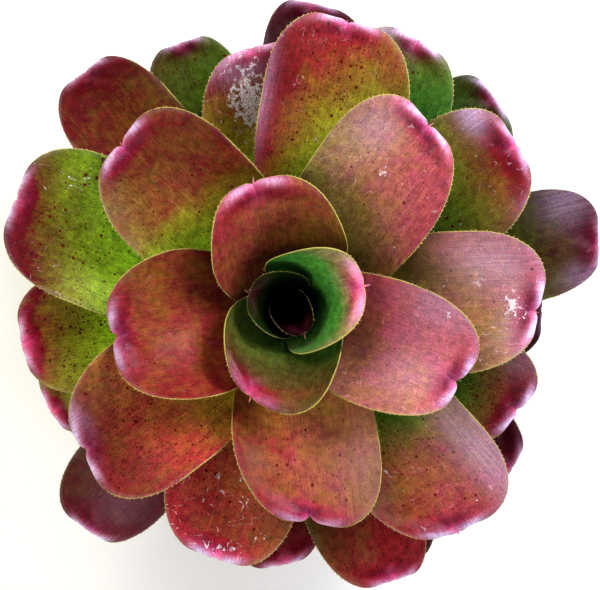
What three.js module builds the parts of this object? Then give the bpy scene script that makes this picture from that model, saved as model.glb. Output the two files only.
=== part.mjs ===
// Neoregelia bromeliad: one rosette of broad strap leaves spiralling up a short cut stem.
// Units are millimetres and +Z is up. The origin is the centre of the stem's cut face, and
// the plant stands on that face. Azimuth 0 is +X, and angles grow counter-clockwise from above.

import * as THREE from "three";

const { clamp, degToRad, lerp, smoothstep } = THREE.MathUtils;

// ---------- driving dimensions ----------

// The leaves from the youngest to the oldest, each about 137.5 degrees clockwise of the one
// before it. "azimuth" is where the blade points, "reach" how far its tip is from the axis and
// "half" half the width of its blade. "sway" is how far the tip leans to the leaf's left, "slant"
// how much further out the left corner of its end is, "pinch" how far the pinched point lies left
// of the middle of the end, as a share of "half", and "notch" how deeply it is notched.
const LEAVES = [
  { azimuth: 77, reach: 7.5, half: 14, sway: 0, slant: 0, pinch: 0, notch: 0.3 },
  { azimuth: 300, reach: 15, half: 30, sway: 0, slant: 0, pinch: 0, notch: 0.3 },
  { azimuth: 161, reach: 21, half: 42, sway: 0, slant: 0, pinch: 0, notch: 0.3 },
  { azimuth: 16.5, reach: 44, half: 54, sway: -0.5, slant: 7, pinch: -0.02, notch: 0.3 },
  { azimuth: 258, reach: 59.5, half: 51.5, sway: -0.5, slant: 12, pinch: -0.21, notch: 0.45 },
  { azimuth: 102.5, reach: 76.5, half: 53.5, sway: -3, slant: 3, pinch: 0.15, notch: 0.5 },
  { azimuth: 334.5, reach: 115, half: 46.5, sway: 6.5, slant: 3.5, pinch: -0.07, notch: 0.9 },
  { azimuth: 194.5, reach: 108.5, half: 54.5, sway: -7, slant: 3, pinch: -0.03, notch: 0.9 },
  { azimuth: 53, reach: 143, half: 47.5, sway: 1, slant: 6.5, pinch: -0.07, notch: 0.6 },
  { azimuth: 277.5, reach: 135, half: 50, sway: -0.5, slant: 10.5, pinch: -0.07, notch: 1 },
  { azimuth: 130, reach: 146, half: 50, sway: 9.5, slant: -6, pinch: 0.12, notch: 0.75 },
  { azimuth: 0.5, reach: 157.5, half: 48.5, sway: 1.5, slant: 6, pinch: -0.13, notch: 0.7 },
  { azimuth: 218.5, reach: 158.5, half: 51.5, sway: -4.5, slant: 8, pinch: -0.08, notch: 0.8 },
  { azimuth: 74.5, reach: 184, half: 50, sway: 8, slant: 3, pinch: 0.08, notch: 0.5 },
  { azimuth: 307.5, reach: 181, half: 48, sway: 7.5, slant: 6.5, pinch: -0.2, notch: 0.2 },
  { azimuth: 161.5, reach: 187, half: 51, sway: -8, slant: 0.5, pinch: -0.05, notch: 0.5 },
  { azimuth: 35.5, reach: 179, half: 46.5, sway: 0, slant: 4, pinch: -0.01, notch: 0.35 },
  { azimuth: 253, reach: 168.5, half: 47, sway: 0, slant: 3, pinch: 0.05, notch: 0.35 },
  { azimuth: 95.5, reach: 168, half: 43.5, sway: 4.5, slant: -4.5, pinch: 0.08, notch: 0.35 },
  { azimuth: 331, reach: 162.5, half: 46.5, sway: 8, slant: 12, pinch: 0.11, notch: 0.65 },
  { azimuth: 186, reach: 175.5, half: 44.5, sway: 3.5, slant: -2.5, pinch: 0.08, notch: 0.25 },
  { azimuth: 62.5, reach: 194, half: 43, sway: 3.5, slant: 4, pinch: 0.04, notch: 0.3 },
  { azimuth: 289, reach: 194.5, half: 38.5, sway: 1.5, slant: 5.5, pinch: 0.14, notch: 0.4 },
  { azimuth: 132.5, reach: 208, half: 38, sway: -1.5, slant: 0.5, pinch: -0.1, notch: 0.45 },
  { azimuth: 13, reach: 214, half: 37.5, sway: 2, slant: 2, pinch: -0.24, notch: 0.35 },
  { azimuth: 226, reach: 204, half: 37.5, sway: 1, slant: 0, pinch: 0.21, notch: 0.3 },
  { azimuth: 79.5, reach: 202, half: 41.5, sway: 10.5, slant: 12, pinch: 0.28, notch: 0.35 },
  { azimuth: 321.5, reach: 187, half: 41, sway: -2, slant: 4, pinch: 0.26, notch: 0.4 },
  { azimuth: 39, reach: 196, half: 43, sway: 12.5, slant: 12, pinch: 0.26, notch: 0.35 },
  { azimuth: 267, reach: 177.5, half: 36, sway: 0, slant: -4, pinch: 0.15, notch: 0.35 },
  { azimuth: 113, reach: 195.5, half: 35, sway: -0.5, slant: 0.5, pinch: -0.07, notch: 0.35 },
  { azimuth: 359, reach: 173, half: 42, sway: 0, slant: 0, pinch: 0, notch: 0.35 },
  { azimuth: 199.5, reach: 179.5, half: 40, sway: 1, slant: 7, pinch: 0.35, notch: 0.35 },
  { azimuth: 292.5, reach: 199, half: 41, sway: 0, slant: 0, pinch: 0, notch: 0.35 },
];
const OLDEST = LEAVES.length - 1;

// The stem: a short caudex with its cut face at z = 0 and a domed top that carries the leaves.
const STEM_RADIUS = 20;
const STEM_CHAMFER = 1.5;
const STEM_FOOT = 13; // height where the oldest leaf joins
const STEM_SHOULDER = 33; // height where the dome begins
const STEM_DOME = 28; // height of the dome
const STEM_SIDES = 32;
const OLDEST_JOINT = 0.01; // where the leaves join, as shares of the line from foot to crown
const YOUNGEST_JOINT = 0.95;
const JOINT_GAP = 0.5; // between the stem and a leaf's base

// A leaf's sheath clasps the stem and forms the wall of the tank with its neighbours.
const YOUNGEST_NECK_RADIUS = 7;
const NECK_SPACING = 1.42; // from each leaf's neck to the next
const YOUNG_NECK_SPREAD = 14.3; // the young leaves stand further apart
const NECK_HEIGHT = 122;
const YOUNG_NECK_DROP = 20;
const OLD_NECK_DROP = 76;
const SHEATH_HALF = 51;
const NECK_HALF = 40;
const YOUNG_WRAP = degToRad(114); // how far round the axis half a sheath may go
const OLD_WRAP = degToRad(66);

// The blade: a trough whose end is rounded, pinched in the middle and rolled over.
const YOUNG_TROUGH_RADIUS = 7;
const OLD_TROUGH_RADIUS = 87;
const BEND_IN = degToRad(22); // the neck leaves the straight line to the tip by this much
const BEND_OUT = degToRad(28); // and the tip by this much
const END_ROUNDING = 52; // length over which the outline closes in
const LEAST_ROUNDING = 0.45; // or this share of a short leaf's length
const END_SQUARENESS = 2.2;
const LOBE_REACH = 6.4; // the lobes beside the notch, past the leaf's length
const LOBE_GAIN = 2.1; // and this much more beside a deep notch
const NOTCH_DEPTH = 9.5;
const NOTCH_WIDTH = 4.5;
const LIP_LENGTH = 8; // the stretch that rolls over
const LIP_CURL = degToRad(110);
const LIP_SPREAD = 0.42; // half width of the roll, as a share of the leaf's
const CREST = 3; // how far the leaf rises where it rolls over
const CREST_BACK = 7; // how far that is before the end
const DIP = 1.5; // and how far it sinks just before it rises
const DIP_BACK = 17;
const RELIEF_SPREAD = 6;
const PINCH_SPREAD = 0.15; // the hollow between the lobes, as a share of the leaf's half width
const PINCH_DIP = 1.4; // how much of the crest it takes away
const PINCH_STIFFNESS = 0.6; // and how much of the roll
const SHEATH_THICKNESS = 0.75;
const MID_THICKNESS = 1.2;
const EDGE_THICKNESS = 0.7;

// Spines: one at the pinched point, and small teeth along the margins that lean to the tip.
const POINT_LENGTH = 6;
const POINT_HALF = 1;
const TOOTH_LENGTH = 1.6;
const TOOTH_HALF = 1.1; // half its width where it leaves the margin
const TOOTH_LEAN = 0.8;
const TEETH_A_SIDE = 4;
const LAST_TOOTH = 20; // how far before the end of the margin
const TOOTH_SPACING = 14; // at least
const TOOTH_ROOM = 3; // between a tooth's middle and the nearest row of the mesh
const FIRST_TOOTHED = 3; // the rolled leaves in the cup have none

// The mesh of a leaf: rows up its sheath, along its blade and, in mm, back from its end.
const SHEATH_ROWS = [0, 0.25, 0.6, 1];
const BLADE_ROWS = [0.35, 0.7];
const END_ROWS = [31, 17, 8, 4, 0];
const YOUNG_COLUMNS = 10; // of leaves that wrap round the cup
const COLUMNS = 8;
const LAST_YOUNG = 10;

const YOUNG_COLOUR = 0xa85a54;
const OLD_COLOUR = 0x6b2f33;
const STEM_COLOUR = 0x8a7350;

// ---------- the shape of one leaf ----------

const bell = (x, spread) => Math.exp(-((x / spread) ** 2));
const polar = (angle, length) => new THREE.Vector2(Math.cos(angle), Math.sin(angle)).multiplyScalar(length);

// The stem's side and dome, from the foot to the crown.
const stemLine = new THREE.CurvePath();
stemLine.add(
  new THREE.LineCurve(
    new THREE.Vector2(STEM_RADIUS, STEM_FOOT),
    new THREE.Vector2(STEM_RADIUS, STEM_SHOULDER),
  ),
);
stemLine.add(new THREE.EllipseCurve(0, STEM_SHOULDER, STEM_RADIUS, STEM_DOME, 0, Math.PI / 2));

// Where a leaf joins the stem, and which way the stem faces there.
function jointOf(order) {
  const share = lerp(YOUNGEST_JOINT, OLDEST_JOINT, order / OLDEST);
  const along = stemLine.getTangentAt(share);
  const facing = new THREE.Vector2(along.y, -along.x);
  const start = stemLine.getPointAt(share).addScaledVector(facing, JOINT_GAP);
  return { start, angle: facing.angle() };
}

// The line that the midribs of a leaf's age follow, in an upright plane (x outwards, y up). The
// lines of older leaves lie outside those of younger ones all the way. Each leaf ends where its
// line gets to the leaf's own reach.
function midribOf(order) {
  const age = order / OLDEST;
  const { start, angle } = jointOf(order);
  const neck = new THREE.Vector2(
    YOUNGEST_NECK_RADIUS + NECK_SPACING * order + YOUNG_NECK_SPREAD * (1 - Math.exp(-order / 4)),
    NECK_HEIGHT - YOUNG_NECK_DROP * Math.exp(-order / 1.3) - OLD_NECK_DROP * age ** 1.1,
  );
  const tip = new THREE.Vector2(
    14 + 208 * (1 - Math.exp(-((order / 7.2) ** 1.8))),
    190 - 62 * Math.exp(-order / 1.6) - 135 * age ** 1.15,
  );
  const chord = tip.clone().sub(neck);
  const rise = Math.atan2(chord.y, chord.x);
  const sheathPull = start.distanceTo(neck) * 0.25;
  const bladePull = chord.length() * 0.36;
  const neckAngle = Math.min(rise + BEND_IN, degToRad(92));
  const path = new THREE.CurvePath();
  path.add(
    new THREE.CubicBezierCurve(
      start,
      start.clone().add(polar(angle, sheathPull)),
      neck.clone().sub(polar(neckAngle, sheathPull)),
      neck,
    ),
  );
  path.add(
    new THREE.CubicBezierCurve(
      neck,
      neck.clone().add(polar(neckAngle, bladePull)),
      tip.clone().sub(polar(rise - BEND_OUT, bladePull)),
      tip,
    ),
  );
  return path;
}

// Everything about a leaf that its points need.
function leafOf(order) {
  const row = LEAVES[order];
  const midrib = midribOf(order);
  const [sheathLength, whole] = midrib.getCurveLengths();
  let low = sheathLength / whole;
  let high = 1;
  while (high - low > 1e-6) {
    const middle = (low + high) / 2;
    if (midrib.getPointAt(middle).x < row.reach) {
      low = middle;
    } else {
      high = middle;
    }
  }
  return {
    ...row,
    midrib,
    azimuth: degToRad(row.azimuth),
    sheathLength,
    whole,
    length: low * whole,
    wrap: lerp(YOUNG_WRAP, OLD_WRAP, smoothstep(order, 6, 12)),
    troughRadius: lerp(YOUNG_TROUGH_RADIUS, OLD_TROUGH_RADIUS, 1 - Math.exp(-((order / 6) ** 1.4))),
  };
}

// Half the leaf's width at a distance along it, for a trough of that radius there.
function halfWidth(leaf, distance, radius) {
  const up = distance / leaf.sheathLength;
  const out = (distance - leaf.sheathLength) / (leaf.length - leaf.sheathLength);
  const sheath = Math.min(SHEATH_HALF, leaf.half * 1.08);
  const neck = Math.min(NECK_HALF, leaf.half * 0.86);
  const wide =
    up < 1
      ? lerp(lerp(0.5 * sheath, sheath, smoothstep(up, 0, 0.5)), neck, smoothstep(up, 0.5, 1))
      : lerp(neck, leaf.half, smoothstep(out, 0, 0.6));
  return Math.min(wide, leaf.wrap * radius);
}

// A point of the leaf's middle surface: u runs from 0 at the stem to 1 at the end, and t from -1
// at the right margin, through 0 on the line to the pinched point, to 1 at the left margin.
function pointOn(leaf, u, t) {
  const v = t + leaf.pinch * (1 - t * t) * smoothstep(u, 0.3, 1);
  const rounding = Math.min(END_ROUNDING, LEAST_ROUNDING * leaf.length);
  const drop = rounding * (1 - Math.sqrt(Math.max(0, 1 - Math.abs(v) ** END_SQUARENESS)));
  const lobes = leaf.length + LOBE_REACH + LOBE_GAIN * leaf.notch - drop + leaf.slant * v;
  const end = lobes - NOTCH_DEPTH * leaf.notch * Math.exp(-Math.abs(t * leaf.half) / NOTCH_WIDTH);
  const distance = u * end;
  const share = clamp(distance / leaf.whole, 0, 1);
  const rib = leaf.midrib.getPointAt(share);
  const tangent = leaf.midrib.getTangentAt(share);
  rib.addScaledVector(tangent, distance - share * leaf.whole);
  const rise = Math.atan2(tangent.y, tangent.x);

  // the trough turns from a ring round the axis into a channel square to the midrib
  const free = smoothstep(distance, leaf.sheathLength * 0.75, leaf.sheathLength + 45);
  const radius = 1 / lerp(1 / rib.x, 1 / leaf.troughRadius, free);
  const facing = lerp(Math.PI, rise + Math.PI / 2, free);
  const across = (v * halfWidth(leaf, distance, radius)) / radius;
  const lift = radius * (1 - Math.cos(across));

  // the end dips, rises into a crest and rolls over, but not at the pinched point
  const near = bell(t, LIP_SPREAD);
  const rolled = Math.max(0, LIP_LENGTH - (end - distance));
  const curl = (LIP_CURL * near * (1 - PINCH_STIFFNESS * bell(t, PINCH_SPREAD))) / LIP_LENGTH;
  const forward = Math.sin(curl * rolled) / curl - rolled;
  const back = lobes - distance;
  const relief =
    CREST * bell(back - CREST_BACK, RELIEF_SPREAD) - DIP * bell(back - DIP_BACK, RELIEF_SPREAD);
  const raised = relief * near * (1 - PINCH_DIP * bell(t, PINCH_SPREAD));
  const down = (1 - Math.cos(curl * rolled)) / curl - raised;

  const out = rib.x + lift * Math.cos(facing) + forward * Math.cos(rise) + down * Math.sin(rise);
  const up = rib.y + lift * Math.sin(facing) + forward * Math.sin(rise) - down * Math.cos(rise);
  const left = radius * Math.sin(across) + leaf.sway * smoothstep(distance / leaf.length, 0.3, 1);
  return new THREE.Vector3(out, left, up);
}

// ---------- meshes ----------

const STEP = 1e-3;
const MARGIN_INSIDE = 0.94;

// The unit normal of the middle surface on its upper side. The rows bunch up at the margin, so
// the normal there is the one just inside it.
function normalOn(leaf, u, atT) {
  const t = clamp(atT, -MARGIN_INSIDE, MARGIN_INSIDE);
  const alongU = pointOn(leaf, Math.min(1, u + STEP), t).sub(pointOn(leaf, Math.max(0, u - STEP), t));
  const alongV = pointOn(leaf, u, Math.min(1, t + STEP)).sub(pointOn(leaf, u, Math.max(-1, t - STEP)));
  return alongU.cross(alongV).normalize();
}

function rowsOf(leaf) {
  const blade = leaf.length - leaf.sheathLength;
  const scale = Math.min(1, (0.6 * blade) / END_ROWS[0]);
  const distances = [
    ...SHEATH_ROWS.map((share) => share * leaf.sheathLength),
    ...BLADE_ROWS.map((share) => leaf.sheathLength + share * (blade - scale * END_ROWS[0])),
    ...END_ROWS.map((back) => leaf.length - scale * back),
  ];
  return distances.map((distance) => distance / leaf.length);
}

// The leaf's middle surface as a net of points, each with the thickness it has there.
function netOf(leaf, columns) {
  return rowsOf(leaf).map((u) =>
    Array.from({ length: columns + 1 }, (_, column) => {
      const t = Math.sin(((column / columns) * 2 - 1) * 1.35) / Math.sin(1.35);
      const middle = lerp(SHEATH_THICKNESS, MID_THICKNESS, smoothstep(u, 0.3, 0.6));
      const half = lerp(middle, EDGE_THICKNESS, t ** 2) / 2;
      return { spot: pointOn(leaf, u, t), half: normalOn(leaf, u, t).multiplyScalar(half) };
    }),
  );
}

// Where the teeth of a margin stand: for each stretch between two rows, how far along it. A
// stretch too short for a tooth goes without.
function teethAlong(net, column) {
  const first = SHEATH_ROWS.length - 1;
  const stretches = net.slice(1).map((row, r) => row[column].spot.distanceTo(net[r][column].spot));
  const total = stretches.slice(first).reduce((sum, stretch) => sum + stretch, 0) - LAST_TOOTH;
  const places = stretches.map(() => []);
  const teeth = Math.min(TEETH_A_SIDE, Math.floor(total / TOOTH_SPACING));
  for (let i = 0; i < teeth; i++) {
    let left = (total * (i + 0.6)) / teeth;
    let row = first;
    while (left > stretches[row]) {
      left -= stretches[row];
      row += 1;
    }
    if (stretches[row] >= 2 * TOOTH_ROOM) {
      places[row].push(clamp(left, TOOTH_ROOM, stretches[row] - TOOTH_ROOM));
    }
  }
  return places;
}

// A closed blade with toothed margins: the same triangles on its upper and lower faces, joined
// round the rim.
function bladeGeometry(net, toothed) {
  const points = [];
  const under = [];
  const faces = [];
  const add = (spot, half) => {
    const index = points.push(spot.clone().add(half)) - 1;
    under[index] = points.push(spot.clone().sub(half)) - 1;
    return index;
  };
  const addTip = (spot) => {
    const index = points.push(spot) - 1;
    under[index] = index;
    return index;
  };
  const face = (p, q, s) => faces.push(p, q, s, under[p], under[s], under[q]);
  const wall = (p, q) => {
    if (under[p] !== p) {
      faces.push(p, q, under[p]);
    }
    if (under[q] !== q) {
      faces.push(q, under[q], under[p]);
    }
  };
  const grid = net.map((row) => row.map(({ spot, half }) => add(spot, half)));
  const last = net[0].length - 1;

  // The margin from one row to the next: its line on the blade, and its outline with the teeth.
  const marginOf = (row, column, places) => {
    const [near, far] = [net[row][column], net[row + 1][column]];
    const inner = column === 0 ? 1 : column - 1;
    const along = far.spot.clone().sub(near.spot);
    const stretch = along.length();
    along.normalize();
    const line = [grid[row][column]];
    const outline = [grid[row][column]];
    for (const place of places) {
      const inside = net[row][inner].spot.clone().lerp(net[row + 1][inner].spot, place / stretch);
      const spot = near.spot.clone().addScaledVector(along, place);
      const half = near.half.clone().lerp(far.half, place / stretch).setLength(near.half.length());
      const outward = spot.clone().sub(inside);
      outward.addScaledVector(along, -outward.dot(along)).normalize();
      const from = add(spot.clone().addScaledVector(along, -TOOTH_HALF), half);
      const to = add(spot.clone().addScaledVector(along, TOOTH_HALF), half);
      const tip = spot.addScaledVector(outward, TOOTH_LENGTH).addScaledVector(along, TOOTH_LEAN);
      line.push(from, to);
      outline.push(from, addTip(tip), to);
    }
    line.push(grid[row + 1][column]);
    outline.push(grid[row + 1][column]);
    return { line, outline };
  };

  // The end of the leaf, with the spine that carries on the line of the crease.
  const middle = last / 2;
  const [tipRow, beforeTip] = [net[net.length - 1], net[net.length - 2]];
  const pinched = tipRow[middle].spot;
  const beside = [middle - 1, middle + 1].map((column) => {
    const aside = tipRow[column].spot.clone().sub(pinched);
    return add(pinched.clone().addScaledVector(aside, POINT_HALF / aside.length()), tipRow[middle].half);
  });
  const onwards = pinched.clone().sub(beforeTip[middle].spot).setLength(POINT_LENGTH);
  const point = addTip(pinched.clone().add(onwards));
  const end = [...grid[net.length - 1]];
  face(beside[0], point, end[middle]);
  face(end[middle], point, beside[1]);
  end.splice(middle, 1, beside[0], point, beside[1]);

  const none = net.map(() => []);
  const places = [0, last].map((column) => (toothed ? teethAlong(net, column) : none));
  for (let r = 0; r + 1 < net.length; r++) {
    const right = marginOf(r, 0, places[0][r]);
    const left = marginOf(r, last, places[1][r]);
    for (let c = 0; c < last; c++) {
      const [a, b, d, e] = [grid[r][c], grid[r][c + 1], grid[r + 1][c], grid[r + 1][c + 1]];
      const atPoint = r + 2 === net.length;
      if (c === 0) {
        for (let i = 0; i + 1 < right.line.length; i++) {
          face(b, right.line[i], right.line[i + 1]);
        }
        face(b, d, e);
      } else if (c === last - 1) {
        for (let i = 0; i + 1 < left.line.length; i++) {
          face(a, left.line[i + 1], left.line[i]);
        }
        face(a, d, e);
      } else if (atPoint && c === middle - 1) {
        face(a, d, beside[0]);
        face(a, beside[0], e);
        face(a, e, b);
      } else if (atPoint && c === middle) {
        face(a, d, b);
        face(b, d, beside[1]);
        face(b, beside[1], e);
      } else if (c < middle) {
        face(a, d, e);
        face(a, e, b);
      } else {
        face(a, d, b);
        face(b, d, e);
      }
    }
    for (let i = 1; i + 2 < right.outline.length; i += 3) {
      face(...right.outline.slice(i, i + 3));
    }
    for (let i = 1; i + 2 < left.outline.length; i += 3) {
      const [from, tip, to] = left.outline.slice(i, i + 3);
      face(from, to, tip);
    }
    for (let i = 0; i + 1 < left.outline.length; i++) {
      wall(left.outline[i], left.outline[i + 1]);
    }
    for (let i = 0; i + 1 < right.outline.length; i++) {
      wall(right.outline[i + 1], right.outline[i]);
    }
  }
  for (let c = 0; c < last; c++) {
    wall(grid[0][c], grid[0][c + 1]);
  }
  for (let i = 0; i + 1 < end.length; i++) {
    wall(end[i + 1], end[i]);
  }
  const geometry = new THREE.BufferGeometry().setFromPoints(points);
  geometry.setIndex(faces);
  return geometry;
}

const plant = new THREE.Group();

LEAVES.forEach((_, order) => {
  const leaf = leafOf(order);
  const columns = order > LAST_YOUNG ? COLUMNS : YOUNG_COLUMNS;
  const blade = bladeGeometry(netOf(leaf, columns), order >= FIRST_TOOTHED);
  const color = new THREE.Color(YOUNG_COLOUR).lerp(new THREE.Color(OLD_COLOUR), order / OLDEST);
  const mesh = new THREE.Mesh(blade, new THREE.MeshStandardMaterial({ color, roughness: 0.4 }));
  mesh.name = `leaf_${String(order + 1).padStart(2, "0")}`;
  mesh.rotation.z = leaf.azimuth;
  plant.add(mesh);
});

const stemProfile = [
  new THREE.Vector2(0, 0),
  new THREE.Vector2(STEM_RADIUS - STEM_CHAMFER, 0),
  new THREE.Vector2(STEM_RADIUS, STEM_CHAMFER),
  new THREE.Vector2(STEM_RADIUS, STEM_SHOULDER),
  ...stemLine.curves[1].getPoints(6).slice(1),
];
const stemGeometry = new THREE.LatheGeometry(stemProfile, STEM_SIDES).rotateX(Math.PI / 2);
const stemMaterial = new THREE.MeshStandardMaterial({ color: STEM_COLOUR, roughness: 0.8 });
const stem = new THREE.Mesh(stemGeometry, stemMaterial);
stem.name = "stem";
plant.add(stem);

export default plant;
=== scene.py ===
"""Neoregelia bromeliad: a flat rosette of broad, notched strap leaves round a deep cup.

Each leaf is one surface worked out from two parameters, given its thickness, its spines and the
pigments of its skin. The leaves stand where the solids of the model are. Lengths in the functions
are millimetres, and each finished mesh is in metres.
"""

import math
from types import SimpleNamespace

import bpy
import numpy as np
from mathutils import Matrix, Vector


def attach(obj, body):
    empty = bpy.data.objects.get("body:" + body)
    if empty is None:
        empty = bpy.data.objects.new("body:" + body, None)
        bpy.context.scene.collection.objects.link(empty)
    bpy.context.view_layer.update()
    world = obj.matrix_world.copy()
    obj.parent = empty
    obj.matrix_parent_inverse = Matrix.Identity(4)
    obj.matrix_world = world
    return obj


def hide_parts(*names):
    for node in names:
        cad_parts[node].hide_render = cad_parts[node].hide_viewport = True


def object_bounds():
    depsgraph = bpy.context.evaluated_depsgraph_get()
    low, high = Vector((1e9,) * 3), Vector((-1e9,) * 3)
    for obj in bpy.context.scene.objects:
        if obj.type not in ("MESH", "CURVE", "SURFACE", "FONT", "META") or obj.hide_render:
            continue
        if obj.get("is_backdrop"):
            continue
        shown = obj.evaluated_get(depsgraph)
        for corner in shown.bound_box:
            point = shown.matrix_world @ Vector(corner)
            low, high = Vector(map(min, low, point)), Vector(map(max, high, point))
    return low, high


bl_info = {
    "name": "Neoregelia Bromeliad",
    "version": (1, 0, 0),
    "blender": (4, 5, 0),
    "location": "3D View > Sidebar > Bromeliad",
    "description": "Grows a bromeliad rosette leaf by leaf and sets up its studio",
    "category": "Add Mesh",
}

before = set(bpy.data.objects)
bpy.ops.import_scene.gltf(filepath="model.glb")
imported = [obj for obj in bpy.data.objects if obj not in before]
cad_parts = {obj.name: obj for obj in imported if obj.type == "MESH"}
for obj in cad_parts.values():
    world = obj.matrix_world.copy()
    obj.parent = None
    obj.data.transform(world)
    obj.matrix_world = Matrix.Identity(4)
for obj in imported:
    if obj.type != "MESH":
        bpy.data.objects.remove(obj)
CAD_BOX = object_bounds()

MM = 0.001
DEGREE = math.pi / 180

# ---------- the shape of the plant, in millimetres ----------

# The leaves from the youngest to the oldest: where the blade points in degrees, how far its tip
# is from the axis, half the width of its blade, how far the tip leans to the left, how much
# further out the left corner of its end is, where the pinched point lies as a share of half the
# width, and how deeply the end is notched.
LEAVES = (
    (77, 7.5, 14, 0, 0, 0, 0.3),
    (300, 15, 30, 0, 0, 0, 0.3),
    (161, 21, 42, 0, 0, 0, 0.3),
    (16.5, 44, 54, -0.5, 7, -0.02, 0.3),
    (258, 59.5, 51.5, -0.5, 12, -0.21, 0.45),
    (102.5, 76.5, 53.5, -3, 3, 0.15, 0.5),
    (334.5, 115, 46.5, 6.5, 3.5, -0.07, 0.9),
    (194.5, 108.5, 54.5, -7, 3, -0.03, 0.9),
    (53, 143, 47.5, 1, 6.5, -0.07, 0.6),
    (277.5, 135, 50, -0.5, 10.5, -0.07, 1),
    (130, 146, 50, 9.5, -6, 0.12, 0.75),
    (0.5, 157.5, 48.5, 1.5, 6, -0.13, 0.7),
    (218.5, 158.5, 51.5, -4.5, 8, -0.08, 0.8),
    (74.5, 184, 50, 8, 3, 0.08, 0.5),
    (307.5, 181, 48, 7.5, 6.5, -0.2, 0.2),
    (161.5, 187, 51, -8, 0.5, -0.05, 0.5),
    (35.5, 179, 46.5, 0, 4, -0.01, 0.35),
    (253, 168.5, 47, 0, 3, 0.05, 0.35),
    (95.5, 168, 43.5, 4.5, -4.5, 0.08, 0.35),
    (331, 162.5, 46.5, 8, 12, 0.11, 0.65),
    (186, 175.5, 44.5, 3.5, -2.5, 0.08, 0.25),
    (62.5, 194, 43, 3.5, 4, 0.04, 0.3),
    (289, 194.5, 38.5, 1.5, 5.5, 0.14, 0.4),
    (132.5, 208, 38, -1.5, 0.5, -0.1, 0.45),
    (13, 214, 37.5, 2, 2, -0.24, 0.35),
    (226, 204, 37.5, 1, 0, 0.21, 0.3),
    (79.5, 202, 41.5, 10.5, 12, 0.28, 0.35),
    (321.5, 187, 41, -2, 4, 0.26, 0.4),
    (39, 196, 43, 12.5, 12, 0.26, 0.35),
    (267, 177.5, 36, 0, -4, 0.15, 0.35),
    (113, 195.5, 35, -0.5, 0.5, -0.07, 0.35),
    (359, 173, 42, 0, 0, 0, 0.35),
    (199.5, 179.5, 40, 1, 7, 0.35, 0.35),
    (292.5, 199, 41, 0, 0, 0, 0.35),
)
OLDEST = len(LEAVES) - 1

# The stem: a short caudex with its cut face on the floor and a domed top that carries the leaves.
STEM_RADIUS = 20
STEM_CHAMFER = 1.5
STEM_FOOT = 13  # height where the oldest leaf joins
STEM_SHOULDER = 33  # height where the dome begins
STEM_DOME = 28  # height of the dome
OLDEST_JOINT = 0.01  # where the leaves join, as shares of the line from foot to crown
YOUNGEST_JOINT = 0.95
JOINT_GAP = 0.5  # between the stem and a leaf's base

# A leaf's sheath clasps the stem and ends at the neck.
YOUNGEST_NECK_RADIUS = 7
NECK_SPACING = 1.42  # from each leaf's neck to the next
YOUNG_NECK_SPREAD = 14.3  # the young leaves stand further apart
NECK_HEIGHT = 122
YOUNG_NECK_DROP = 20
OLD_NECK_DROP = 76
SHEATH_HALF = 51
SHEATH_SHARE = 1.08  # or this share of the blade's half width, where that is less
NECK_HALF = 40
NECK_SHARE = 0.86
SHEATH_PULL = 0.25  # the handles of the sheath's curve, as shares of the line between its ends
YOUNG_WRAP = 114 * DEGREE  # how far round the axis half a sheath may go
OLD_WRAP = 66 * DEGREE

# The blade: a trough whose end is rounded, pinched in the middle and rolled over.
YOUNGEST_TIP_RADIUS = 14
TIP_SPREAD = 208  # how much further out the line of the oldest leaf ends
TIP_HEIGHT = 190
YOUNG_TIP_DROP = 62
OLD_TIP_DROP = 135
YOUNG_TROUGH_RADIUS = 7
OLD_TROUGH_RADIUS = 87
BLADE_PULL = 0.36  # the handles of the blade's curve
BEND_IN = 22 * DEGREE  # the neck leaves the straight line to the tip by this much
BEND_OUT = 28 * DEGREE  # and the tip by this much
STEEPEST_NECK = 92 * DEGREE
SWELL_HEIGHT = 0.5  # of the low swells of a live leaf
WAVE_HEIGHT = 0.4  # of the waves at its margins
END_ROUNDING = 52  # length over which the outline closes in
LEAST_ROUNDING = 0.45  # or this share of a short leaf's length
END_SQUARENESS = 2.2
LOBE_REACH = 6.4  # the lobes beside the notch, past the leaf's length
LOBE_GAIN = 2.1  # and this much more beside a deep notch
NOTCH_DEPTH = 9.5
NOTCH_WIDTH = 4.5
LIP_LENGTH = 8  # the stretch of the end that rolls over
LIP_CURL = 110 * DEGREE
LIP_SPREAD = 0.42  # half width of the roll, as a share of the leaf's
CREST = 3  # how far the leaf rises where it rolls over
CREST_BACK = 7  # how far that is before the end
DIP = 1.5  # and how far it sinks just before it rises
DIP_BACK = 17
RELIEF_SPREAD = 6
PINCH_SPREAD = 0.15  # the hollow between the lobes, as a share of the leaf's half width
PINCH_DIP = 1.4  # how much of the crest it takes away
PINCH_STIFFNESS = 0.6  # and how much of the roll
SHEATH_THICKNESS = 0.75
MID_THICKNESS = 1.2
EDGE_THICKNESS = 0.7
EDGE_NOSE = 0.3  # how far the rounded margin stands out

# The spines: teeth along the margins that lean to the tip, and a stiff point in the notch.
TOOTH_HALF = 0.55  # half width of a tooth's foot
TOOTH_RIDGE = 0.24  # half thickness of its foot
TOOTH_ROOT = 0.15  # how deep it stands in the margin
TOOTH_LEAN = 0.6  # how far it leans, as a share of its length
POINT_HALF = 1.15
POINT_TIP = 0.06
POINT_FLATNESS = 0.8  # its thickness as a share of its width
POINT_ROOT = 0.25  # the share of its length that is in the leaf
POINT_WEAR = 0.55  # the share that the old leaves have lost


def clip01(x):
    """x held between 0 and 1."""
    return np.clip(x, 0, 1)


def lerp(a, b, share):
    """The value that share of the way from a to b."""
    return a + (b - a) * share


def smoothstep(x, low, high):
    """A smooth climb from 0 at low to 1 at high."""
    s = clip01((x - low) / (high - low))
    return s * s * (3 - 2 * s)


def bell(x, spread):
    """A bell curve, 1 at x = 0 and 1/e at spread."""
    return np.exp(-((x / spread) ** 2))


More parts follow.
